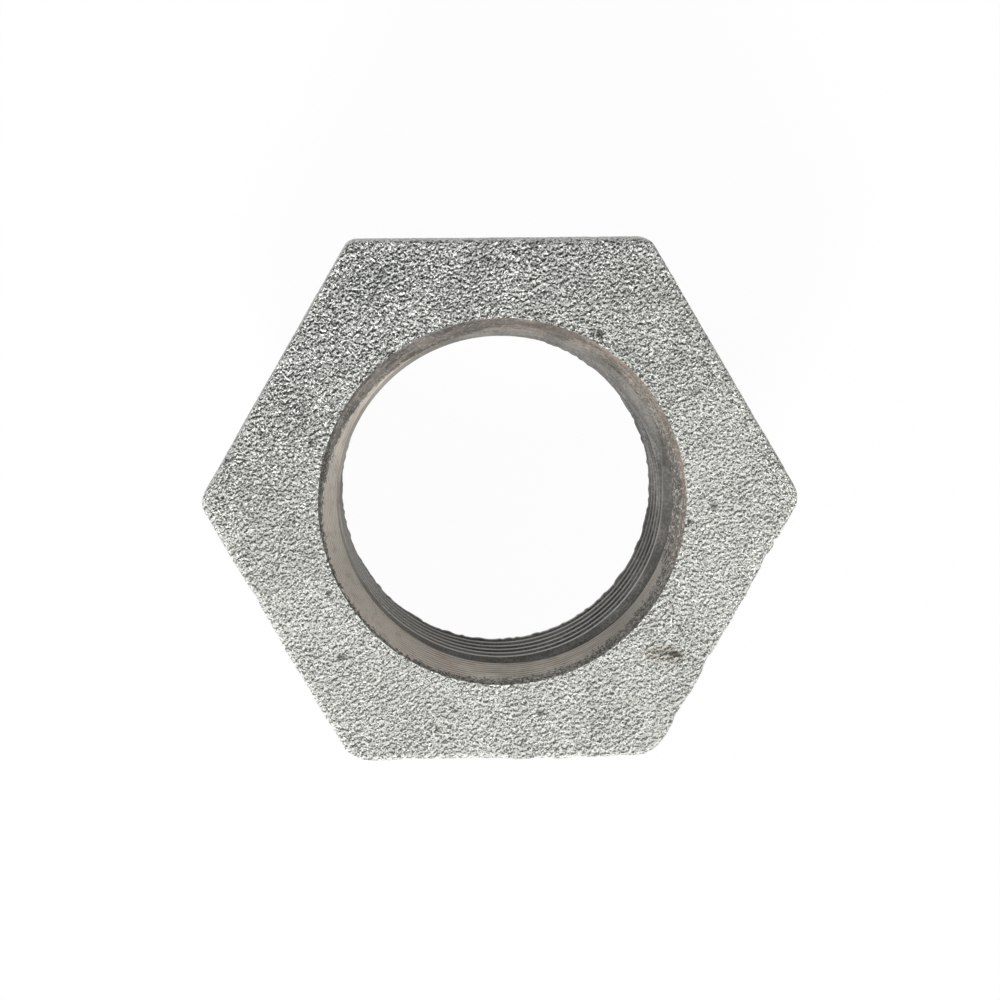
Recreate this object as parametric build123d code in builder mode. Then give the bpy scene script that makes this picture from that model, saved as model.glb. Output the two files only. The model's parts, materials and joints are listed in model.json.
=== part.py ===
from build123d import *
from math import cos, radians, sin, tan
import os

# A galvanised malleable-iron hex bushing, which lets a 1-1/4 inch pipe screw into a 2 inch fitting.
# It is one casting, machined where the two threads go.
# It stands on the end of its shank with the hexagon up, and +Z runs along the bore.
# The origin is the centre of the shank's end. Two flats of the hexagon face +Y and -Y.
# The male thread's surface is its crests and the female thread's surface is the drilled wall.

# Hexagon, whose sides close in a little towards the shank as the mould leaves them
across_flats = 63.5
hexagon_height = 8.6
hexagon_draft = 2.0
outer_edge_radius = 0.8
back_edge_radius = 0.4

# Corners of the hexagon from the +X one counter-clockwise; three are blunter, as the casting was trimmed
corner_radii = [2.9, 1.7, 2.2, 1.9, 3.5, 4.3]

# Shank for the 2 inch male thread, which tapers 1 in 16 on its diameter
shank_length = 22.4
shank_end_diameter = 59.4
taper_per_length = 1 / 16
shank_end_chamfer = 1.6

# Countersunk mouth in the hexagon's face and the short steep lead-in to the thread
mouth_diameter = 44.2
countersink_diameter = 40.6
countersink_depth = 4.3
lead_in_depth = 0.4
mouth_edge_radius = 0.3

# Wall drilled for the 1-1/4 inch female thread
thread_wall_diameter = 38.2
thread_wall_length = 12.1

# Cored recess, wider than the thread, which runs from the thread to the shank's end
recess_diameter = 45.0
recess_shoulder_length = 1.3
recess_draft = 2.0
recess_corner_radius = 1.2
recess_mouth_chamfer = 0.8

# Heights that the sizes above give
total_height = shank_length + hexagon_height
countersink_bottom = total_height - countersink_depth
thread_wall_top = countersink_bottom - lead_in_depth
thread_wall_bottom = thread_wall_top - thread_wall_length
recess_top = thread_wall_bottom - recess_shoulder_length

# Radii that the sizes above give
shank_end_radius = shank_end_diameter / 2
shank_top_radius = shank_end_radius + shank_length * taper_per_length / 2
recess_radius = recess_diameter / 2
recess_mouth_wall_radius = recess_radius + recess_top * tan(radians(recess_draft))

corner_reach = across_flats / 2 / cos(radians(30))
corner_step = 60

with BuildPart() as hex_bushing:
    # Hexagon, drawn on its outer face and drawn down towards the shank
    with BuildSketch(Plane.XY.offset(total_height)):
        RegularPolygon(radius=across_flats / 2, side_count=6, major_radius=False)
        for corner, corner_radius in enumerate(corner_radii):
            bearing = radians(corner * corner_step)
            corner_point = (corner_reach * cos(bearing), corner_reach * sin(bearing), 0)
            fillet(vertices().sort_by_distance(corner_point)[0], corner_radius)
    extrude(amount=-hexagon_height, taper=hexagon_draft)
    fillet(faces().sort_by(Axis.Z)[-1].edges(), outer_edge_radius)
    fillet(faces().sort_by(Axis.Z)[0].edges(), back_edge_radius)

    # Shank with its lead chamfer and its tapered crests
    with BuildSketch(Plane.XZ):
        with BuildLine():
            Polyline(
                (0, 0),
                (shank_end_radius - shank_end_chamfer, 0),
                (shank_end_radius + shank_end_chamfer * taper_per_length / 2, shank_end_chamfer),
                (shank_top_radius, shank_length),
                (0, shank_length),
                close=True,
            )
        make_face()
    revolve(axis=Axis.Z)

    # Bore from the countersunk mouth through the threaded wall into the cored recess
    with BuildSketch(Plane.XZ):
        with BuildLine():
            Polyline(
                (0, 0),
                (recess_mouth_wall_radius, 0),
                (recess_radius, recess_top),
                (thread_wall_diameter / 2, thread_wall_bottom),
                (thread_wall_diameter / 2, thread_wall_top),
                (countersink_diameter / 2, countersink_bottom),
                (mouth_diameter / 2, total_height),
                (0, total_height),
                close=True,
            )
        make_face()
        fillet(vertices().sort_by_distance((recess_radius, recess_top, 0))[0], recess_corner_radius)
    revolve(axis=Axis.Z, mode=Mode.SUBTRACT)

    # Soft rim in the hexagon's face and chamfered rim in the shank's end
    mouth_edge = faces().sort_by(Axis.Z)[-1].inner_wires()[0].edges()
    fillet(mouth_edge, mouth_edge_radius)
    recess_mouth_edge = faces().sort_by(Axis.Z)[0].inner_wires()[0].edges()
    chamfer(recess_mouth_edge, recess_mouth_chamfer)

hex_bushing.part.label = "hex_bushing"

os.makedirs("parts", exist_ok=True)
export_step(hex_bushing.part, "parts/hex_bushing.step")
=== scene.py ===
# A galvanised hex bushing that stands on the end of its shank, seen from above its hexagon.

import itertools
import json
import math

import bmesh
import bpy
import numpy as np
from mathutils import Matrix, Vector


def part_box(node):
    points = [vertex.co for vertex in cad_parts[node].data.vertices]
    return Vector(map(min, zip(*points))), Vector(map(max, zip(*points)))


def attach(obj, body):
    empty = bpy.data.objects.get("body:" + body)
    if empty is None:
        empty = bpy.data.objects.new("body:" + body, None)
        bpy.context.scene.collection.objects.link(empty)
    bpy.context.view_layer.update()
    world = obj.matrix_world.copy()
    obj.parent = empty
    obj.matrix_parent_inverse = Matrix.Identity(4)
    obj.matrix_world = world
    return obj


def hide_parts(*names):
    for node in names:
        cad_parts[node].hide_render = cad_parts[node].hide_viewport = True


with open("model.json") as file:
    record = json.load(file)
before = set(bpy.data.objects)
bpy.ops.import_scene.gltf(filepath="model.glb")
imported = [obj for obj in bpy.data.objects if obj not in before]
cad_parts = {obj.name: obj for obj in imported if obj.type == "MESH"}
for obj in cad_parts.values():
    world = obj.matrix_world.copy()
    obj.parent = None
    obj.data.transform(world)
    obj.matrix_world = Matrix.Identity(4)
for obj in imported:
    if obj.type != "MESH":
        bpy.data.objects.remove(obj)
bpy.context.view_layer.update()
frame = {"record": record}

mm = 0.001
degree = math.pi / 180

# Sizes and places that the solid bushing and its female thread give
female_mount = next(m for m in frame["record"]["mounts"] if m["name"] == "female_thread")
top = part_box("hex_bushing")[1].z
thread_wall_length = female_mount["dims"]["length_mm"] * mm
thread_wall_radius = female_mount["dims"]["r_mm"] * mm
thread_wall_top = female_mount["pos_m"][2] + thread_wall_length / 2
thread_wall_bottom = female_mount["pos_m"][2] - thread_wall_length / 2

# Hexagon: its true flats lie a little inside the solid's, which takes in the flash of the lower sides
apothem = 31.5 * mm
hexagon_height = 8.6 * mm
hexagon_draft = 2.0 * degree
outer_edge_radius = 0.8 * mm
back_edge_radius = 0.4 * mm
corner_radii = [2.9 * mm, 1.7 * mm, 2.2 * mm, 1.9 * mm, 3.5 * mm, 4.3 * mm]
least_corner_radius = 0.3 * mm
sides = 6
corner_step = 60 * degree

# Mouth of the bore
mouth_radius = 22.1 * mm
mouth_edge_radius = 0.3 * mm
countersink_radius = 20.3 * mm
countersink_depth = 4.3 * mm

# Where the soft rim's middle lies, as a share of its radius, and how rough it and the countersink's
# upper end are, from 0, machined, to 1, rough as cast
rim_share = 0.3
rim_roughness = 0.8
cone_roughness = 0.4

# How far the mouth and the countersink's inner edge lie off the thread's axis
mouth_shift = (0.155 * mm, -0.2 * mm)
countersink_shift = (0.6 * mm, -0.03 * mm)

# Taper pipe threads: the same pitch and form inside and outside
pitch = 25.4 * mm / 11.5
thread_height = 0.8 * pitch

# Male thread, whose grooves fade out below the hexagon
male_taper = 1 / 32
male_end_radius = 29.7 * mm
male_chamfer = 1.6 * mm
end_inset = 0.3 * mm
neck_height = top - hexagon_height
male_fade_length = 3.2 * mm

# Female thread, whose lower end leans a little to the left
female_top_radius = thread_wall_radius + 0.39 * mm
female_taper = 1 / 16
female_shift = 0.13 * mm
female_start = thread_wall_top - 5.75 * pitch
lead_in_slope = 0.9
lead_in_height = 1.0 * mm

# Bearings between which the female thread hasn't started yet, and over which it comes in
unstarted_from = 25 * degree
unstarted_to = 200 * degree
unstarted_fade = 30 * degree

# Teeth that the tap tore in the female thread's lower end
burr_length = 3.4 * mm
burr_height = 0.14 * mm
burr_fade_share = 0.3
burr_ring_radius = 20 * mm
burr_tooth_width = 0.55 * mm

# Cored recess
recess_radius = 22.5 * mm
shoulder_length = 1.3 * mm
recess_top = thread_wall_bottom - shoulder_length
recess_draft = 2.0 * degree
recess_corner_radius = 1.2 * mm
recess_mouth_chamfer = 0.8 * mm

# How finely the skin is divided
fine_columns = 840
columns = 280
face_rows = 44
side_rows = 14
recess_rows = 14
countersink_rows = 12
end_rows = 3
edge_steps = 4

# The number of each finish among the mesh's materials
zinc, mouth_iron, female_iron, male_iron, end_iron = range(5)


def cell_value(cells, seed):
    """A steady random number from 0 to 1 for each whole-numbered cell."""
    mixed = cells[:, 0] * 73856093 ^ cells[:, 1] * 19349663 ^ cells[:, 2] * 83492791 ^ seed * 668265263
    mixed = (mixed ^ (mixed >> 13)) * 1274126177
    mixed = mixed ^ (mixed >> 16)
    return (mixed & 0xFFFF) / 0xFFFF


def lumps(points, size, seed):
    """Smooth noise from 0 to 1 whose lumps are about that size across."""
    spun = points @ np.array(Matrix.Rotation(seed + 0.7, 3, Vector((1, 2, 3 + seed)))).T
    scaled = spun / size
    low = np.floor(scaled).astype(np.int64)
    part = scaled - low
    part = part * part * (3 - 2 * part)
    total = np.zeros(len(points))
    for corner in itertools.product((0, 1), repeat=3):
        weight = np.prod(np.where(corner, part, 1 - part), axis=1)
        total += weight * cell_value(low + np.array(corner), seed)
    return total


def ease(amount):
    """Runs smoothly from 0 to 1 as amount does, and stays there outside."""
    amount = np.clip(amount, 0, 1)
    return amount * amount * (3 - 2 * amount)


def column_angles(count):
    """The bearings of that many evenly spaced columns."""
    return np.arange(count) * 2 * math.pi / count


def hexagon_reach(angles, inset):
    """How far the rounded hexagon, drawn in by inset, reaches from the axis at each angle."""
    reach = np.full(len(angles), np.inf)
    for side in range(sides):
        facing = (side + 0.5) * corner_step
        share = np.cos(angles - facing)
        flat = (apothem - inset) / np.maximum(share, 0.5)
        reach = np.where(share > 0.5, np.minimum(reach, flat), reach)
    for corner, corner_radius in enumerate(corner_radii):
        radius = max(corner_radius - inset, least_corner_radius)
        centre = (apothem - inset - radius) / math.cos(corner_step / 2)
        turn = (angles - corner * corner_step + math.pi) % (2 * math.pi) - math.pi
        half = math.atan2(radius * math.sin(corner_step / 2), centre + radius * math.cos(corner_step / 2))
        arc = centre * np.cos(turn) + np.sqrt(np.maximum(radius**2 - (centre * np.sin(turn)) ** 2, 0))
        reach = np.where(np.abs(turn) < half, arc, reach)
    return reach


class Skin:
    """Rings of points around the axis and the faces between them, which close into one mesh."""

    def __init__(self):
        self.points = []
        self.casts = []
        self.faces = []
        self.finishes = []
        self.size = 0

    def ring(self, reach, height, cast, count=columns):
        """Adds a ring and returns its point numbers. cast runs from 0, machined, to 1, rough as cast."""
        angles = column_angles(count)
        reach = np.broadcast_to(reach, count)
        heights = np.broadcast_to(height, count)
        self.points.append(np.stack([reach * np.cos(angles), reach * np.sin(angles), heights], axis=1))
        self.casts.append(np.broadcast_to(cast, count))
        self.size += count
        return np.arange(self.size - count, self.size)

    def face(self, corners, finish):
        """Adds one face and leaves out corners that fall on each other."""
        kept = [c for i, c in enumerate(corners) if c != corners[i - 1]]
        if len(kept) > 2:
            self.faces.append(kept)
            self.finishes.append(finish)

    def band(self, first, second, finish):
        """Joins two rings, with triangles where they don't have the same number of points."""
        if len(first) == len(second):
            for i in range(len(first)):
                self.face([first[i - 1], first[i], second[i], second[i - 1]], finish)
            return
        a = b = 0
        while a < len(first) or b < len(second):
            here, there = first[a % len(first)], second[b % len(second)]
            if (a + 1) * len(second) <= (b + 1) * len(first):
                a += 1
                self.face([here, first[a % len(first)], there], finish)
            else:
                b += 1
                self.face([here, second[b % len(second)], there], finish)

    def rings(self, last, profile, finish, count=columns):
        """Adds a ring for each (reach, height, cast) of the profile, joined on from the last ring."""
        for reach, height, cast in profile:
            ring = self.ring(reach, height, cast, count)
            self.band(last, ring, finish)
            last = ring
        return last


# One turn of a thread as (share of the pitch, depth of the groove), from the low edge of a crest up
thread_form = [(0.0, 0.0), (0.09, 0.0), (0.29, 0.5), (0.5, 1.0), (0.57, 1.0), (0.79, 0.5)]


def groove_depth(phase):
    """Depth of the groove, from 0 at a crest to 1 at a root, at a share of the pitch."""
    shares, depths = zip(*thread_form, (1.0, 0.0))
    return np.interp(phase, shares, depths)


def helix_phase(heights, start):
    """Share of the pitch at each column of a right-hand thread that climbs from start."""
    return ((heights - start) / pitch - column_angles(columns) / (2 * math.pi)) % 1


def thread(skin, low_ring, high_ring, low, high, start, radius_at, finish):
    """A right-hand thread whose rows climb with the helix from start and end on the two rings."""
    per_turn = len(thread_form)
    climb = column_angles(columns) / (2 * math.pi) * pitch
    rows = []
    for turn in range(-1, int((np.max(high) - start) / pitch) + 2):
        for share, _ in thread_form:
            heights = start + (turn + share) * pitch + climb
            numbers = skin.ring(radius_at(heights, share), heights, 0.0)
            numbers = np.where(heights <= low, low_ring, numbers)
            rows.append(np.where(heights >= high, high_ring, numbers))

    # The last column of a row meets the first column of the row one turn higher
    for row in range(len(rows) - 1):
        lower, upper = rows[row], rows[row + 1]
        for i in range(columns - 1):
            skin.face([lower[i], lower[i + 1], upper[i + 1], upper[i]], finish)
        if row + per_turn + 1 < len(rows):
            next_lower, next_upper = rows[row + per_turn], rows[row + per_turn + 1]
            skin.face([lower[-1], next_lower[0], next_upper[0], upper[-1]], finish)


def male_radius(heights, phase):
    """The shank's taper thread, whose grooves run out at the hexagon and whose end is chamfered."""
    crest = male_end_radius + heights * male_taper
    depth = thread_height * ease((neck_height - heights) / male_fade_length)
    chamfer = male_end_radius - male_chamfer + heights
    return np.minimum(crest - depth * groove_depth(phase), chamfer)


def female_radius(heights, phase):
    """The bore's taper thread, which narrows away from the hexagon's face and ends in a torn crest."""
    crest = female_top_radius - (thread_wall_top - heights) * female_taper
    angles = column_angles(columns)

    # The thread starts out of a plain cone at the top and the left of the bore
    unstarted = ease(angles / unstarted_from) * ease((unstarted_to - angles) / unstarted_fade)
    unstarted = unstarted * ease((heights - thread_wall_top + lead_in_height) / (0.5 * lead_in_height))
    crest = crest + unstarted * np.maximum(heights - thread_wall_top, 0) / lead_in_slope
    crest = crest + female_shift * (heights - thread_wall_bottom) / thread_wall_length * np.cos(angles)

    # Some teeth stand in over the hole and the edge between them lies back
    wall = burr_ring_radius * np.stack([np.cos(angles), np.sin(angles), np.zeros(columns)], axis=1)
    teeth = ease((lumps(wall, burr_tooth_width, 5) - 0.35) / 0.4) - 0.3
    torn = ease((thread_wall_bottom + burr_length - heights) / (burr_fade_share * burr_length)) * teeth
    return crest + (1 - unstarted) * thread_height * groove_depth(phase) - burr_height * torn


# Flash and nicks on the three lower sides, in mm: how far the whole side stands out, then each lump or
# nick as (place along the side from its middle, how far out, how wide)
flash = {
    3: (0.08, [(-11.0, 0.08, 1.5), (-5.0, -0.16, 1.0), (3.6, 0.3, 1.6), (11.0, 0.32, 1.6)]),
    4: (0.0, [(-14.8, 0.2, 1.8), (-11.0, -0.12, 0.9), (2.5, 0.28, 1.8), (7.0, 0.3, 0.9),
              (9.2, -0.16, 0.7), (15.5, -0.18, 2.2)]),
    5: (0.06, [(-14.5, 0.22, 1.1), (-12.4, -0.12, 0.6), (-8.0, 0.18, 1.6), (-4.7, -0.22, 0.9),
               (0.5, 0.08, 2.0), (4.4, 0.12, 1.0), (9.5, -0.24, 0.8), (12.0, -0.3, 0.35)]),
}

# How far the flash reaches down the sides and in over the face, and the most that a side stands out to
flash_side_reach = 3.0 * mm
flash_face_reach = 1.5 * mm
flash_limit = 31.68 * mm


def flash_height(angles):
    """How far the flash stands out from the flats at each angle, or a nick goes in."""
    height = np.zeros(len(angles))
    for side, (level, marks) in flash.items():
        turn = (angles - (side + 0.5) * corner_step + math.pi) % (2 * math.pi) - math.pi
        along = apothem * np.tan(np.clip(turn, -corner_step / 2, corner_step / 2))
        there = ease((corner_step / 2 - np.abs(turn)) / (2 * degree))
        out = np.full(len(angles), level)
        for place, proud, width in marks:
            out += proud * np.exp(-(((along / mm - place) / width) ** 2))
        height += there * out * mm
    return height


def shifted(reach, shift, count=columns):
    """A circle's reach from the axis at each column when its centre is shifted."""
    angles = column_angles(count)
    return reach + shift[0] * np.cos(angles) + shift[1] * np.sin(angles)


def outline(inset, flash_share):
    """The hexagon's outline at every fine column, drawn in by inset, with a share of the flash."""
    angles = column_angles(fine_columns)
    reach = hexagon_reach(angles, inset)
    facing = (np.floor(angles / corner_step) + 0.5) * corner_step
    limit = (flash_limit - inset) / np.cos(angles - facing)
    out = flash_share * flash_height(angles)
    return np.where(out > 0, np.minimum(reach + out, limit), reach + out)


def add_face(skin):
    """The hexagon's face, from the soft rim of the mouth out. Returns its inner and outer rings."""
    rim_reach = shifted(mouth_radius + mouth_edge_radius, mouth_shift, fine_columns)
    rim = skin.ring(rim_reach, top, 1.0, fine_columns)
    last = rim
    plain = outline(outer_edge_radius, 0)
    flashed = outline(outer_edge_radius, 1)
    face_width = outline(0, 0) - rim_reach
    for row in range(1, face_rows + 1):
        share = row / face_rows
        to_edge = np.mean((1 - share) * face_width)
        flash_share = ease(1 - to_edge / flash_face_reach) if share < 1 else 1.0
        reach = rim_reach + share * (plain - rim_reach)
        reach = reach + flash_share * (flashed - plain)
        last = skin.rings(last, [(reach, top, 1.0)], zinc, fine_columns)
    return rim, last


def add_sides(skin, last):
    """The hexagon's rounded outer edge, its drafted flats and its back edge."""
    for step in range(1, edge_steps + 1):
        turn = step / edge_steps * (math.pi / 2 - hexagon_draft)
        inset = outer_edge_radius * (1 - math.sin(turn))
        drop = outer_edge_radius * (1 - math.cos(turn))
        last = skin.rings(last, [(outline(inset, 1), top - drop, 1.0)], zinc, fine_columns)
    side_top = outer_edge_radius
    side_bottom = hexagon_height - back_edge_radius
    for row in range(1, side_rows + 1):
        drop = side_top + (side_bottom - side_top) * row / side_rows
        inset = (drop - side_top) * math.tan(hexagon_draft)
        flash_share = 1 - ease((drop - side_top) / flash_side_reach)
        last = skin.rings(last, [(outline(inset, flash_share), top - drop, 1.0)], zinc, fine_columns)
    back_inset = (side_bottom - side_top) * math.tan(hexagon_draft)
    for turn in (45 * degree, 90 * degree):
        inset = back_inset + back_edge_radius * (1 - math.cos(turn))
        drop = side_bottom + back_edge_radius * math.sin(turn)
        last = skin.rings(last, [(outline(inset, 0), top - drop, 1.0)], zinc, fine_columns)
    return last


def add_shank(skin, last):
    """The male thread, from the hexagon down to the shank's end."""
    neck = skin.ring(male_radius(neck_height, 0.0), neck_height, 0.0)
    skin.band(last, neck, zinc)
    end_phase = helix_phase(0.0, 0.0)
    shank_end = skin.ring(male_radius(0.0, end_phase), 0.0, 0.0)
    thread(skin, shank_end, neck, 0.0, neck_height, 0.0, male_radius, male_iron)
    return shank_end


def add_recess(skin, shank_end):
    """The shank's end face and the cored recess up to its shoulder."""
    recess_mouth = recess_radius + recess_top * math.tan(recess_draft)
    end_inner = recess_mouth + recess_mouth_chamfer
    end_outer = male_end_radius - male_chamfer - end_inset
    last = skin.rings(shank_end, [
        (end_outer + (end_inner - end_outer) * row / end_rows, 0.0, 0.0) for row in range(end_rows + 1)
    ], end_iron)
    wall_low = recess_mouth_chamfer
    wall_high = recess_top - 0.7 * recess_corner_radius
    wall = []
    for row in range(recess_rows + 1):
        height = wall_low + (wall_high - wall_low) * row / recess_rows
        wall.append((recess_radius + (recess_top - height) * math.tan(recess_draft), height, 1.0))
    last = skin.rings(last, wall, zinc)
    fall = math.atan2(shoulder_length, recess_radius - thread_wall_radius)
    centre_reach = recess_radius - recess_corner_radius
    centre_height = recess_top - recess_corner_radius * (1 / math.cos(fall) - math.tan(fall))
    shoulder = []
    for step in range(1, edge_steps + 1):
        turn = step / edge_steps * (math.pi / 2 - fall)
        shoulder.append((centre_reach + recess_corner_radius * math.cos(turn),
                         centre_height + recess_corner_radius * math.sin(turn), 1.0))
    return skin.rings(last, shoulder, zinc)


def add_bore(skin, last, rim):
    """The female thread, the countersink and the mouth's soft rim, which closes the skin."""
    thread_low = skin.ring(
        female_radius(thread_wall_bottom, helix_phase(thread_wall_bottom, female_start)),
        thread_wall_bottom, 0.0)
    skin.band(last, thread_low, zinc)

    # The thread ends at the edge of the off-centre countersink, which lies higher where it is wider
    low_reach = shifted(countersink_radius, countersink_shift)
    low_height = thread_wall_top + (low_reach - female_top_radius) * lead_in_slope
    countersink_edge = skin.ring(low_reach, low_height, 0.0)
    thread(skin, thread_low, countersink_edge, thread_wall_bottom, low_height, female_start,
           female_radius, female_iron)

    # Countersink and the mouth's soft rim
    cone_top = top - mouth_edge_radius
    mouth_reach = shifted(mouth_radius, mouth_shift)
    cone = []
    for row in range(1, countersink_rows + 1):
        share = row / countersink_rows
        cone.append((low_reach + share * (mouth_reach - low_reach),
                     low_height + share * (cone_top - low_height), cone_roughness * share))
    last = skin.rings(countersink_edge, cone, mouth_iron)
    soft_reach = shifted(mouth_radius + rim_share * mouth_edge_radius, mouth_shift, fine_columns)
    soft = skin.rings(last, [(soft_reach, top - rim_share * mouth_edge_radius, rim_roughness)],
                      mouth_iron, fine_columns)
    skin.band(soft, rim, zinc)


def build_skin():
    """The whole surface, from the mouth over the hexagon and the shank and back up through the bore."""
    skin = Skin()
    rim, face_edge = add_face(skin)
    back_edge = add_sides(skin, face_edge)
    shank_end = add_shank(skin, back_edge)
    shoulder = add_recess(skin, shank_end)
    add_bore(skin, shoulder, rim)
    return skin


# Cast surface: each layer of hollows as (size across, depth, seed)
cast_layers = [(7.0 * mm, 0.06 * mm, 1), (2.2 * mm, 0.05 * mm, 2)]

# Fine ridges of the cast surface: their width, their height and the seed
ridge_size = 0.95 * mm
ridge_depth = 0.05 * mm
ridge_seed = 3
sharp_angle = 38 * degree


def cast_depth(points):
    """How far the rough casting lies under its true surface."""
    depth = np.zeros(len(points))
    for size, deep, seed in cast_layers:
        depth += deep * lumps(points, size, seed)
    ridges = np.abs(2 * lumps(points, ridge_size, ridge_seed) - 1)
    return depth + ridge_depth * ridges


def face_out(mesh):
    """Turns every face so that it looks out of the iron."""
    work = bmesh.new()
    work.from_mesh(mesh)
    bmesh.ops.recalc_face_normals(work, faces=work.faces)
    work.to_mesh(mesh)
    work.free()
    mesh.update()


def make_bushing():
    """The bushing's skin as one mesh, sunk in by the depth of the rough casting."""
    skin = build_skin()
    points = np.concatenate(skin.points)
    casts = np.concatenate(skin.casts)

    # Points that no face uses, where a thread's rows run past its rings, are left out
    used = np.unique(np.concatenate(skin.faces))
    number = np.zeros(len(points), dtype=int)
    number[used] = np.arange(len(used))
    points, casts = points[used], casts[used]
    faces = [[int(number[c]) for c in face] for face in skin.faces]

    mesh = bpy.data.meshes.new("hex_bushing_skin")
    mesh.from_pydata(points.tolist(), [], faces)
    mesh.polygons.foreach_set("material_index", skin.finishes)
    mesh.update()
    face_out(mesh)
    normals = np.empty(len(points) * 3)
    mesh.vertex_normals.foreach_get("vector", normals)
    rough = points - normals.reshape(-1, 3) * (casts * cast_depth(points))[:, None]
    mesh.vertices.foreach_set("co", rough.ravel())
    mesh.polygons.foreach_set("use_smooth", [True] * len(mesh.polygons))
    mesh.set_sharp_from_angle(angle=sharp_angle)
    mesh.update()
    piece = bpy.data.objects.new("hex_bushing_skin", mesh)
    bpy.context.scene.collection.objects.link(piece)
    return piece


# Zinc grain and worm-like ridges: their sizes, the bearing along which they are drawn out and how many
# times, and how far the ridges are moved to paint light on the side of each that faces the main lamp and
# shade on the other
grain_size = 0.19 * mm
worm_size = 0.43 * mm
grain_bearing = 30 * degree
grain_stretch = 1.08
painted_shading_shift = (-0.055 * mm, 0.135 * mm, 0.0)

# The zinc gets smoother in this direction in the XY plane, between these distances along it; its colour
# also gets less dark and less contrasty that way, which is partly painted shade
smoother_to = (0.35, -0.93)
roughest_at = -26 * mm
smoothest_at = 5 * mm

# How far below the face the zinc gets evener, how much of its contrast is left and what it lies around
even_start = 0.6 * mm
even_end = 2.0 * mm
even_contrast = 0.4
middle_light = 0.48

# How deep marks reach below the face and how ragged their edges are
mark_depth = 1.0 * mm
mark_raggedness = 1.2

# The countersink was cut off centre, so it leaves the rough casting on the right and the top of the
# mouth: each (bearing in degrees, share of the countersink's depth that is left rough)
rough_left = [
    (0, 1.2), (115, 1.2), (122, 0.97), (150, 0.68), (168, 0.45), (185, 0.22), (205, 0.14), (250, 0.18),
    (270, 0.28), (290, 0.32), (335, 0.52), (350, 1.2),
]

# How brown, how orange and how flecked with zinc that rough casting is at each bearing
rough_brown = [
    (0, 0.7), (40, 0.8), (80, 1.0), (120, 0.95), (165, 0.85), (190, 0.5), (285, 0.0), (315, 0.35),
    (345, 0.6), (360, 0.7),
]
rough_orange = [(0, 0.55), (60, 0.6), (85, 0.15), (110, 0.0), (320, 0.0), (360, 0.55)]
rough_specks = [
    (0, 0.6), (20, 0.3), (45, 0.15), (80, 0.1), (130, 0.25), (165, 0.4), (200, 0.2), (280, 0.12),
    (320, 0.05), (345, 0.5), (360, 0.6),
]

# How much painted highlight and how much painted shade the countersink's machined iron gets at each
# bearing, and how strong its tool lines are
machined_painted_highlight = [(170, 0.1), (190, 0.75), (225, 0.8), (250, 0.15), (275, 0.0)]
machined_painted_shade = [(0, 0.0), (275, 0.0), (300, 0.3), (320, 0.55), (345, 0.55), (360, 0.0)]
line_depths = [(0, 0.2), (165, 0.2), (195, 0.5), (240, 0.5), (262, 0.2), (300, 0.25), (360, 0.25)]

# Distance between the tool lines in the countersink and on the shank's end
tool_feed = 0.36 * mm
end_feed = 0.3 * mm

# Height over which the lead-in's painted light takes over, then the painted light and shade of the female
# thread and of the lead-in above it at each bearing, as the lamps light each side of the bore
lead_in_fade = 0.9 * mm
thread_painted_shading = [
    (0, 0.06), (45, 0.04), (100, 0.04), (150, 0.15), (185, 0.42), (215, 0.5), (240, 0.27),
    (265, 0.085), (300, 0.05), (335, 0.045), (360, 0.06),
]
lead_in_painted_shading = [
    (0, 0.08), (20, 0.085), (45, 0.1), (90, 0.11), (110, 0.16), (150, 0.36), (185, 0.55), (215, 0.4),
    (240, 0.19), (265, 0.12), (300, 0.07), (335, 0.06), (360, 0.08),
]

# How bright the painted highlights on the female thread's crests are, and how metallic the whole thread
# is, at each bearing
crest_painted_highlights = [
    (0, 0.12), (20, 0.0), (160, 0.03), (195, 0.5), (240, 0.75), (290, 0.65), (320, 0.35), (340, 0.23),
    (360, 0.12),
]
thread_shines = [(0, 0.35), (25, 0.05), (120, 0.05), (170, 0.5), (335, 0.5), (360, 0.35)]

# Marks on the face as (x, y, length, width in mm, bearing in degrees, how dark): the flaw, then pits
face_marks = [
    (20.9, -18.9, 1.9, 0.7, -10, 0.85), (19.2, -18.7, 2.2, 0.6, -5, 0.4), (4.6, -25.9, 1.0, 0.9, 0, 0.7),
    (11.9, 20.0, 1.0, 1.1, 20, 0.85), (25.7, -1.0, 1.0, 1.2, 0, 0.65), (-20.9, -11.1, 0.7, 0.8, 0, 0.7),
    (-1.8, 29.1, 1.9, 0.9, 0, 0.5), (-19.4, -18.9, 1.4, 0.9, 30, 0.7), (22.8, -2.8, 0.8, 0.6, 20, 0.9),
    (4.3, 28.6, 1.0, 1.0, 0, 0.4), (-22.7, 7.2, 0.9, 1.7, 0, 0.6), (-33.0, 5.2, 1.0, 0.8, 60, 0.5),
    (-25.5, -2.3, 1.8, 1.0, 20, 0.3), (23.5, 12.9, 1.5, 1.0, 30, 0.4), (-14.1, 27.3, 1.2, 0.8, 0, 0.3),
]

# Stains as (x, y, length, width in mm, bearing in degrees, share, tint): the flaw's, then bluish ones
face_tints = [
    (19.6, -18.8, 5.6, 2.2, -5, 0.6, (0.6, 0.54, 0.45)),
    (-15.5, 26.5, 9.0, 4.5, 30, 0.22, (0.66, 0.72, 0.74)),
    (-2.0, 28.5, 8.0, 4.0, 0, 0.15, (0.68, 0.72, 0.74)),
    (-23.5, 8.0, 5.0, 8.0, 30, 0.12, (0.7, 0.74, 0.75)),
]

# Fine raised lines beside the flaw as (x, y, length, width in mm, bearing in degrees)
face_ridges = [(20.6, -14.3, 3.0, 0.35, 88), (21.6, -16.2, 2.6, 0.3, 115)]


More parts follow.
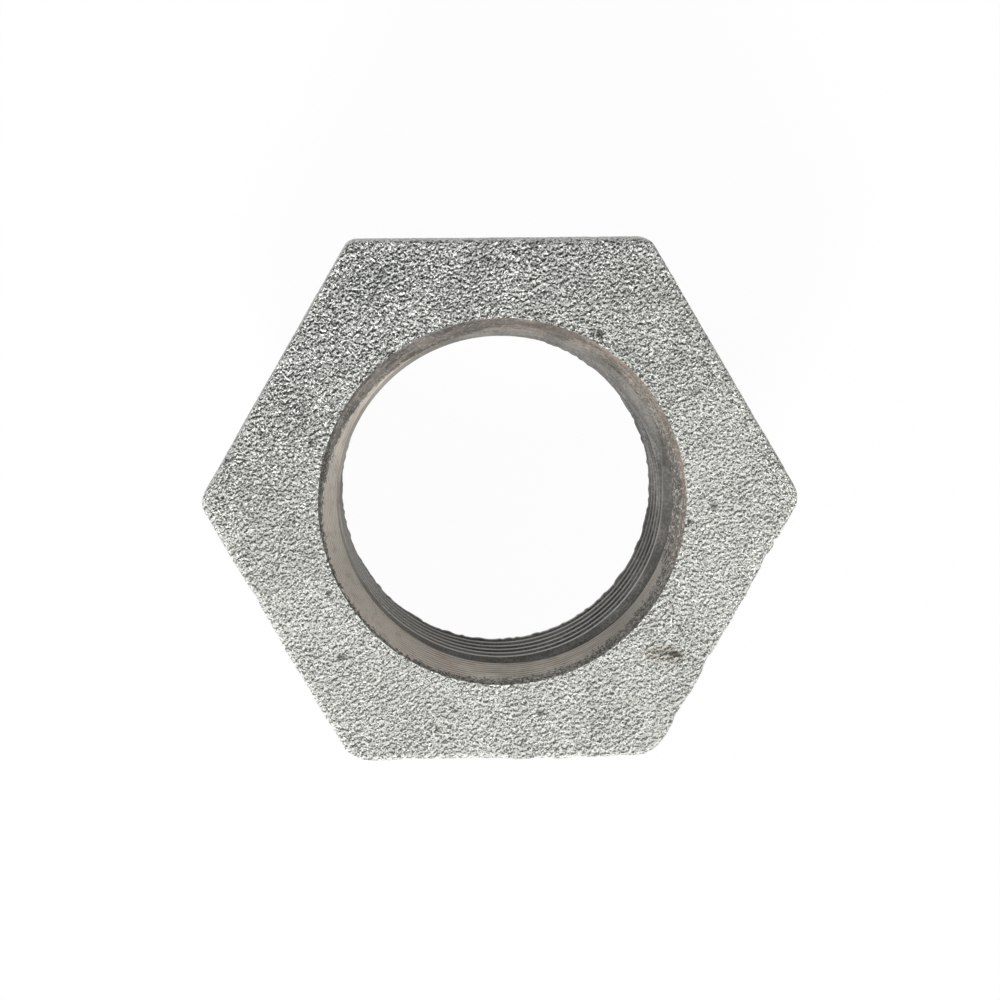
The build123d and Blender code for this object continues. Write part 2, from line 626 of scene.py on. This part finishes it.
class Finish:
    """A material made of nodes that read the object's own coordinates."""

    def __init__(self, name):
        self.material = bpy.data.materials.new(name)
        self.material.use_nodes = True
        self.tree = self.material.node_tree
        self.tree.nodes.clear()
        self.output = self.node("ShaderNodeOutputMaterial")
        self.surface = self.node("ShaderNodeBsdfPrincipled")
        self.put(self.output.inputs["Surface"], self.surface.outputs["BSDF"])
        self.place = self.node("ShaderNodeTexCoord").outputs["Object"]

    def node(self, kind, **settings):
        """Adds a node and gives it its settings."""
        made = self.tree.nodes.new(kind)
        for name, value in settings.items():
            setattr(made, name, value)
        return made

    def put(self, socket, value):
        """Links the socket to a node's output, or sets it to a plain value."""
        if isinstance(value, bpy.types.NodeSocket):
            self.tree.links.new(value, socket)
        else:
            socket.default_value = value

    def math(self, operation, *values):
        """One step of arithmetic on numbers or node outputs."""
        made = self.node("ShaderNodeMath", operation=operation)
        for socket, value in zip(made.inputs, values):
            self.put(socket, value)
        return made.outputs[0]

    def mix_add(self, first, first_share, second, second_share):
        """The sum of two numbers, each taken at its share."""
        return self.math("MULTIPLY_ADD", first, first_share, self.math("MULTIPLY", second, second_share))

    def axes(self):
        """The object's coordinates one by one."""
        made = self.node("ShaderNodeSeparateXYZ")
        self.put(made.inputs[0], self.place)
        return made.outputs

    def length(self, vector):
        """How long the vector is."""
        made = self.node("ShaderNodeVectorMath", operation="LENGTH")
        self.put(made.inputs[0], vector)
        return made.outputs["Value"]

    def noise(self, size, detail=2.0, roughness=0.5, distortion=0.0, place=None):
        """Noise whose lumps are about that size across."""
        made = self.node("ShaderNodeTexNoise")
        self.put(made.inputs["Scale"], 1 / size)
        self.put(made.inputs["Detail"], detail)
        self.put(made.inputs["Roughness"], roughness)
        self.put(made.inputs["Distortion"], distortion)
        self.put(made.inputs["Vector"], place or self.place)
        return made.outputs["Fac"]

    def spots(self, size):
        """Scattered cones that far apart, from 0 at each middle up."""
        made = self.node("ShaderNodeTexVoronoi")
        self.put(made.inputs["Scale"], 1 / size)
        self.put(made.inputs["Vector"], self.place)
        return made.outputs["Distance"]

    def drawn_round(self, stretch):
        """The object's coordinates, with lumps drawn out that many times around the bore."""
        made = self.node("ShaderNodeVectorMath", operation="MULTIPLY")
        self.put(made.inputs[0], self.place)
        self.put(made.inputs[1], (1 / stretch, 1 / stretch, 1.0))
        return made.outputs[0]

    def moved(self, location, bearing, scale):
        """The object's coordinates seen from a location, turned to a bearing and divided by a scale."""
        made = self.node("ShaderNodeMapping", vector_type="TEXTURE")
        self.put(made.inputs["Location"], location)
        self.put(made.inputs["Rotation"], (0.0, 0.0, bearing))
        self.put(made.inputs["Scale"], scale)
        self.put(made.inputs["Vector"], self.place)
        return made.outputs["Vector"]

    def mark(self, oval, ragged):
        """A mark on the hexagon's face, from 0 outside to 1 in its middle, with a ragged edge.

        oval is (x, y, length, width in mm, bearing in degrees).
        """
        x, y, length, width = (size * mm for size in oval[:4])
        inside = self.moved((x, y, top), oval[4] * degree, (length / 2, width / 2, mark_depth))
        edge = self.math("MULTIPLY_ADD", ragged, mark_raggedness, self.length(inside))
        return self.ramp(edge, 1.1, 1.9, 1.0, 0.0)

    def ramp(self, source, low, high, start=0.0, end=1.0, smooth=True):
        """Runs from start to end as the source goes from low to high, and stays there outside."""
        made = self.node("ShaderNodeMapRange", interpolation_type="SMOOTHSTEP" if smooth else "LINEAR")
        for name, value in (("From Min", low), ("From Max", high), ("To Min", start), ("To Max", end)):
            self.put(made.inputs[name], value)
        self.put(made.inputs["Value"], source)
        return made.outputs["Result"]

    def colours(self, source, stops):
        """Runs through (place, colour) stops."""
        made = self.node("ShaderNodeValToRGB")
        band = made.color_ramp
        while len(band.elements) < len(stops):
            band.elements.new(0.5)
        for element, (place, colour) in zip(band.elements, stops):
            element.position = place
            element.color = (*colour, 1.0)
        self.put(made.inputs["Fac"], source)
        return made.outputs["Color"]

    def blend(self, share, first, second, kind="MIX"):
        """Goes from the first colour to the second as share goes from 0 to 1."""
        made = self.node("ShaderNodeMix", data_type="RGBA", blend_type=kind)
        self.put(made.inputs[0], share)
        for socket, colour in zip(made.inputs[6:8], (first, second)):
            self.put(socket, (*colour, 1.0) if isinstance(colour, tuple) else colour)
        return made.outputs[2]

    def bump(self, height, depth, below=None, strength=1.0):
        """Relief that high at height 1, on top of the relief below it."""
        made = self.node("ShaderNodeBump")
        self.put(made.inputs["Strength"], strength)
        self.put(made.inputs["Distance"], depth)
        self.put(made.inputs["Height"], height)
        if below is not None:
            self.put(made.inputs["Normal"], below)
        return made.outputs["Normal"]

    def give(self, **sockets):
        """Sets or links the surface's own sockets."""
        for name, value in sockets.items():
            self.put(self.surface.inputs[name.replace("_", " ")], value)


def zinc_finish():
    """Hot-dipped zinc over a rough casting."""
    made = Finish("galvanised_iron")
    drawn_out = (grain_stretch, 1.0, 1.0)
    here = made.moved((0.0, 0.0, 0.0), grain_bearing, drawn_out)
    # The ridges looked up from moved coordinates, for their painted light and shade
    below = made.moved(painted_shading_shift, grain_bearing, drawn_out)
    grain = made.noise(grain_size, 1.0, 0.5, 0.1, place=here)
    worms = made.noise(worm_size, 1.0, 0.5, 0.3, place=here)
    worms_shifted_for_painted_shading = made.noise(worm_size, 1.0, 0.5, 0.3, place=below)
    fine = made.noise(0.2 * mm, 1.0, 0.5)
    cloud = made.noise(8.0 * mm, 2.0, 0.5)
    pits = made.ramp(made.spots(1.7 * mm), 0.0, 0.2)

    # The casting is rougher towards the upper left, and its zinc darker and more contrasty there, partly
    # as painted shade of the main lamp's light falling off and grazing towards the upper left
    x, y, z = made.axes()
    along = made.mix_add(x, smoother_to[0], y, smoother_to[1])
    rough = made.ramp(along, roughest_at, smoothest_at, 1.0, 0.0, smooth=False)
    strength = made.math("MULTIPLY_ADD", rough, 0.3, 0.7)

    relief = made.bump(grain, 1.0 * mm, strength=strength)
    relief = made.bump(worms, 0.8 * mm, relief, made.math("MULTIPLY_ADD", rough, 0.6, 0.4))
    relief = made.bump(pits, 0.05 * mm, relief)

    # The lightness follows the grain and the ridges, painting shade in their hollows and highlights on
    # their tops, with painted light on the side of each ridge that faces the main lamp and painted shade
    # on the other side
    height = made.math("MULTIPLY_ADD", worms, 0.12, made.math("MULTIPLY_ADD", grain, 0.7, 0.09))
    height = made.math("MULTIPLY_ADD", made.math("SUBTRACT", worms, worms_shifted_for_painted_shading), 0.85, height)
    light = made.mix_add(cloud, 0.1, height, 0.9)

    # The zinc ran evener down the sides and in the recess than over the face
    even = made.ramp(z, top - even_end, top - even_start, even_contrast, 1.0)
    light = made.math("MULTIPLY_ADD", made.math("SUBTRACT", light, middle_light), even, middle_light)
    # Both ramps run from painted shade in the hollows through the zinc's grey to painted highlights on
    # the ridges
    dark = made.colours(light, [
        (0.385, (0.09, 0.093, 0.086)), (0.48, (0.64, 0.65, 0.615)), (0.565, (0.98, 0.99, 0.95)),
    ])
    pale = made.colours(light, [
        (0.375, (0.18, 0.183, 0.168)), (0.475, (0.64, 0.647, 0.6)), (0.58, (0.93, 0.935, 0.885)),
    ])
    # Darker, more contrasty zinc towards the upper left, partly painted shade
    zinc_colour = made.blend(made.math("POWER", rough, 2.0), pale, dark)
    ragged = made.noise(0.4 * mm, 2.0)
    for *oval, share in face_marks:
        mark = made.math("MULTIPLY", made.mark(oval, ragged), share)
        zinc_colour = made.blend(mark, zinc_colour, (0.07, 0.068, 0.06))
    for *oval, share, tint in face_tints:
        mark = made.math("MULTIPLY", made.mark(oval, ragged), share)
        zinc_colour = made.blend(mark, zinc_colour, tint, "MULTIPLY")
    for oval in face_ridges:
        relief = made.bump(made.mark(oval, ragged), 0.25 * mm, relief)
    made.give(
        Base_Color=zinc_colour, Metallic=0.5, Normal=relief,
        Roughness=made.ramp(fine, 0.3, 0.7, 0.3, 0.42),
    )
    return made.material


def height_and_bearing(made):
    """The height and the bearing, as a share of a turn, at each point."""
    x, y, z = made.axes()
    turn = made.math("MULTIPLY", made.math("ARCTAN2", y, x), 1 / (2 * math.pi))
    return z, made.math("FRACT", turn)


def crest_share(made, z, bearing, start, low, high, share):
    """That share on a thread's crests and 0 off them; low and high bound the crest's upper edge."""
    turns = made.math("MULTIPLY_ADD", z, 1 / pitch, -start / pitch)
    phase = made.math("FRACT", made.math("SUBTRACT", turns, bearing))
    return made.ramp(phase, low, high, share, 0.0)


def around(made, bearing, stops):
    """A number that changes with the bearing, from stops of (bearing in degrees, number)."""
    return made.colours(bearing, [(stop / 360, (number,) * 3) for stop, number in stops])


def mouth_finish():
    """Bare machined iron: the countersink with its tool lines and what is left of the rough mouth."""
    made = Finish("mouth_iron")
    z, bearing = height_and_bearing(made)
    wander = made.noise(1.6 * mm, 3.0, 0.7)
    grit = made.noise(0.3 * mm, 3.0, 0.65)
    splashes = made.noise(0.45 * mm, 3.0, 0.6)
    scratches = made.noise(0.3 * mm, 2.0, 0.6, place=made.drawn_round(14))
    stain = made.noise(1.4 * mm, 3.0, 0.6, place=made.drawn_round(4))

    # How far down the countersink the rough casting is left at each bearing, as a share of its depth
    left = around(made, bearing, rough_left)
    brown = around(made, bearing, rough_brown)
    depth = made.math("MULTIPLY_ADD", z, -1 / countersink_depth, top / countersink_depth)
    left = made.math("ADD", left, made.math("MULTIPLY_ADD", wander, 0.3, -0.15))
    left = made.math("ADD", left, made.math("MULTIPLY_ADD", splashes, 0.7, -0.35))
    rough = made.ramp(made.math("SUBTRACT", left, depth), -0.06, 0.06)

    lines = made.math("SINE", made.math("MULTIPLY", z, 2 * math.pi / tool_feed))
    cut = made.mix_add(scratches, 0.5, stain, 0.5)
    lines = made.math("MULTIPLY", lines, made.ramp(wander, 0.35, 0.6, 0.35, 1.0))
    cut = made.math("MULTIPLY_ADD", lines, around(made, bearing, line_depths), cut)
    tan = made.colours(cut, [
        (0.34, (0.4, 0.36, 0.31)), (0.5, (0.7, 0.635, 0.56)), (0.66, (0.85, 0.8, 0.73)),
    ])
    dark = made.colours(grit, [
        (0.38, (0.07, 0.068, 0.061)), (0.51, (0.25, 0.246, 0.223)), (0.62, (0.64, 0.63, 0.59)),
    ])
    caked = made.mix_add(grit, 0.3, stain, 0.7)
    caked = made.math("MULTIPLY_ADD", lines, 0.09, caked)
    rust = made.colours(caked, [
        (0.36, (0.045, 0.04, 0.034)), (0.5, (0.13, 0.114, 0.097)), (0.63, (0.32, 0.28, 0.245)),
    ])
    orange = around(made, bearing, rough_orange)
    orange = made.math("MULTIPLY", orange, made.ramp(depth, 0.1, 0.6, 1.0, 0.0))
    orange = made.math("MULTIPLY", orange, made.ramp(cut, 0.42, 0.6))
    rust = made.blend(orange, rust, (0.34, 0.23, 0.16))
    specks = made.math("MULTIPLY", made.ramp(splashes, 0.55, 0.62), around(made, bearing, rough_specks))
    # Painted highlight on the countersink's left and lower left, an orange stain where the wander noise
    # is high, then painted shade on its lower right
    tan = made.blend(around(made, bearing, machined_painted_highlight), tan, (0.98, 0.9, 0.79))
    tan = made.blend(made.ramp(wander, 0.5, 0.7, 0.0, 0.42), tan, (0.6, 0.43, 0.31))
    tan = made.blend(around(made, bearing, machined_painted_shade), tan, (0.34, 0.335, 0.31))
    cast = made.blend(specks, made.blend(brown, dark, rust), (0.8, 0.78, 0.73))
    made.give(
        Base_Color=made.blend(rough, tan, cast),
        Metallic=made.ramp(rough, 0.0, 1.0, 0.35, 0.2, smooth=False),
        Roughness=made.ramp(rough, 0.0, 1.0, 0.42, 0.6, smooth=False),
        Normal=made.bump(grit, 0.1 * mm, made.bump(cut, 0.08 * mm)),
    )
    return made.material


def male_thread_finish():
    """The shank's cut thread: dull grey iron with a painted highlight along its crests, and a few darker
    stains.
    """
    made = Finish("male_thread_iron")
    z, bearing = height_and_bearing(made)
    stain = made.noise(2.2 * mm, 3.0, 0.6, place=made.drawn_round(4))
    scratches = made.noise(0.25 * mm, 2.0, 0.6, place=made.drawn_round(12))
    grit = made.noise(0.3 * mm, 2.0, 0.6)
    # Painted highlight along each crest
    crest = crest_share(made, z, bearing, 0.0, 0.1, 0.16, 0.5)
    worn = made.mix_add(scratches, 0.4, stain, 0.6)
    iron = made.colours(worn, [
        (0.36, (0.13, 0.125, 0.115)), (0.5, (0.27, 0.262, 0.245)), (0.64, (0.4, 0.39, 0.365)),
    ])
    made.give(
        Base_Color=made.blend(crest, iron, (0.62, 0.61, 0.58)), Metallic=0.45,
        Roughness=made.ramp(grit, 0.35, 0.65, 0.4, 0.52),
        Normal=made.bump(scratches, 0.03 * mm, made.bump(grit, 0.04 * mm)),
    )
    return made.material


def end_finish():
    """The shank's turned end: dull grey iron with fine rings and a few darker stains."""
    made = Finish("end_iron")
    stain = made.noise(4.0 * mm, 3.0, 0.6)
    grit = made.noise(0.3 * mm, 2.0, 0.6)
    rings = made.math("SINE", made.math("MULTIPLY", made.length(made.place), 2 * math.pi / end_feed))
    worn = made.math("MULTIPLY_ADD", rings, 0.04, made.mix_add(grit, 0.3, stain, 0.7))
    made.give(
        Base_Color=made.colours(worn, [
            (0.34, (0.2, 0.194, 0.18)), (0.5, (0.3, 0.293, 0.275)), (0.66, (0.4, 0.392, 0.37)),
        ]),
        Metallic=0.45, Roughness=made.ramp(grit, 0.35, 0.65, 0.42, 0.54),
        Normal=made.bump(rings, 0.01 * mm, made.bump(grit, 0.05 * mm)),
    )
    return made.material


def female_thread_finish():
    """The bore's cut thread: dull grey flanks with painted light and shade around the bore, lighter to
    the left, and painted highlights on the crests.
    """
    made = Finish("female_thread_iron")
    z, bearing = height_and_bearing(made)
    stain = made.noise(1.6 * mm, 3.0, 0.6, place=made.drawn_round(5))
    grit = made.noise(0.3 * mm, 2.0, 0.6)
    # Painted light and shade around the bore: each bearing of the thread and of the lead-in gets its own
    # lightness
    shade = made.colours(bearing, [
        (stop / 360, (light, 0.97 * light, 0.9 * light)) for stop, light in thread_painted_shading
    ])
    lead_in = made.colours(bearing, [
        (stop / 360, (light, 0.95 * light, 0.86 * light)) for stop, light in lead_in_painted_shading
    ])
    above = made.ramp(z, thread_wall_top - lead_in_fade, thread_wall_top)
    shade = made.blend(above, shade, lead_in)
    spotted = made.mix_add(grit, 0.4, stain, 0.6)
    shade = made.blend(made.ramp(spotted, 0.4, 0.65, 0.0, 0.16), shade, (0.75, 0.72, 0.66))
    # Painted highlights along the crests, stronger at some bearings
    crest = crest_share(made, z, bearing, female_start, 0.1, 0.125, 1.0)
    crest = made.math("MULTIPLY", crest, around(made, bearing, crest_painted_highlights))
    made.give(
        Base_Color=made.blend(crest, shade, (0.75, 0.74, 0.71)),
        Metallic=around(made, bearing, thread_shines), Roughness=0.5,
        Normal=made.bump(grit, 0.1 * mm),
    )
    return made.material


bushing = make_bushing()
for finish in (zinc_finish(), mouth_finish(), female_thread_finish(), male_thread_finish(), end_finish()):
    bushing.data.materials.append(finish)
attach(bushing, "root")
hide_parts("hex_bushing")


floor_size = 6.0
floor_gap = 0.02 * mm
floor_white_share = 0.97


def make_floor():
    """A plain white floor, which the camera sees as white but for the bushing's faint shadow."""
    bpy.ops.mesh.primitive_plane_add(size=floor_size, location=(0, 0, -floor_gap))
    floor = bpy.context.object
    floor.name = "floor"
    made = Finish("floor_white")
    made.give(Base_Color=(0.8, 0.8, 0.8, 1.0), Roughness=0.9)
    paths = made.node("ShaderNodeLightPath").outputs
    seen = made.math("MAXIMUM", paths["Is Camera Ray"],
                     made.math("MAXIMUM", paths["Is Glossy Ray"], paths["Is Transmission Ray"]))
    glow = made.node("ShaderNodeEmission")
    made.put(glow.inputs["Strength"], 1.0)
    mix = made.node("ShaderNodeMixShader")
    made.put(mix.inputs["Fac"], made.math("MULTIPLY", seen, floor_white_share))
    made.put(mix.inputs[1], made.surface.outputs["BSDF"])
    made.put(mix.inputs[2], glow.outputs["Emission"])
    made.put(made.output.inputs["Surface"], mix.outputs["Shader"])
    floor.data.materials.append(made.material)
    return floor


make_floor()


aim = Vector((0, 0, top))


def lamp(name, place, size, power):
    """A square soft lamp that looks at the bushing."""
    light = bpy.data.lights.new(name, "AREA")
    light.shape = "SQUARE"
    light.size = size
    light.energy = power
    made = bpy.data.objects.new(name, light)
    made.visible_camera = False
    made.location = place
    made.rotation_mode = "QUATERNION"
    made.rotation_quaternion = (Vector(place) - aim).to_track_quat("Z", "Y")
    bpy.context.scene.collection.objects.link(made)


lamp("main_lamp", (-0.16, -0.6, 0.56), 0.2, 8.6)
lamp("fill_lamp", (-0.43, 0.2, 0.42), 0.3, 1.3)
lamp("side_lamp", (0.5, 0.0, 0.4), 0.35, 0.4)
lamp("top_lamp", (0.0, 0.0, 1.1), 0.5, 0.6)

world_strength = 0.16
world = bpy.data.worlds.new("studio")
world.use_nodes = True
background = world.node_tree.nodes["Background"]
background.inputs["Color"].default_value = (1.0, 1.0, 1.0, 1.0)
background.inputs["Strength"].default_value = world_strength
bpy.context.scene.world = world

# Camera: nearly straight above, a little behind and to the left of the bore's axis
camera_bearing = 113.2 * degree
camera_lean = 6.726 * degree
camera_distance = 803.49 * mm
camera_roll = -0.304 * degree
camera_target = Vector((-0.156 * mm, 0.062 * mm, top))
focal_share = 6.67192
sensor_width = 36.0
nearest_seen = 10 * mm


def make_camera():
    """A camera that looks at its target from that distance, lean and bearing, and rolled a little."""
    back = Vector((math.sin(camera_lean) * math.cos(camera_bearing),
                   math.sin(camera_lean) * math.sin(camera_bearing), math.cos(camera_lean)))
    right = (-back).cross(Vector((0, 1, 0))).normalized()
    up = right.cross(-back)
    turned_right = math.cos(camera_roll) * right + math.sin(camera_roll) * up
    turned_up = -math.sin(camera_roll) * right + math.cos(camera_roll) * up
    data = bpy.data.cameras.new("camera")
    data.sensor_width = sensor_width
    data.lens = focal_share * sensor_width
    data.clip_start = nearest_seen
    camera = bpy.data.objects.new("camera", data)
    turn = Matrix((turned_right, turned_up, back)).transposed().to_4x4()
    camera.matrix_world = Matrix.Translation(camera_target + back * camera_distance) @ turn
    bpy.context.scene.collection.objects.link(camera)
    bpy.context.scene.camera = camera


make_camera()
bpy.context.scene.view_settings.view_transform = "Standard"
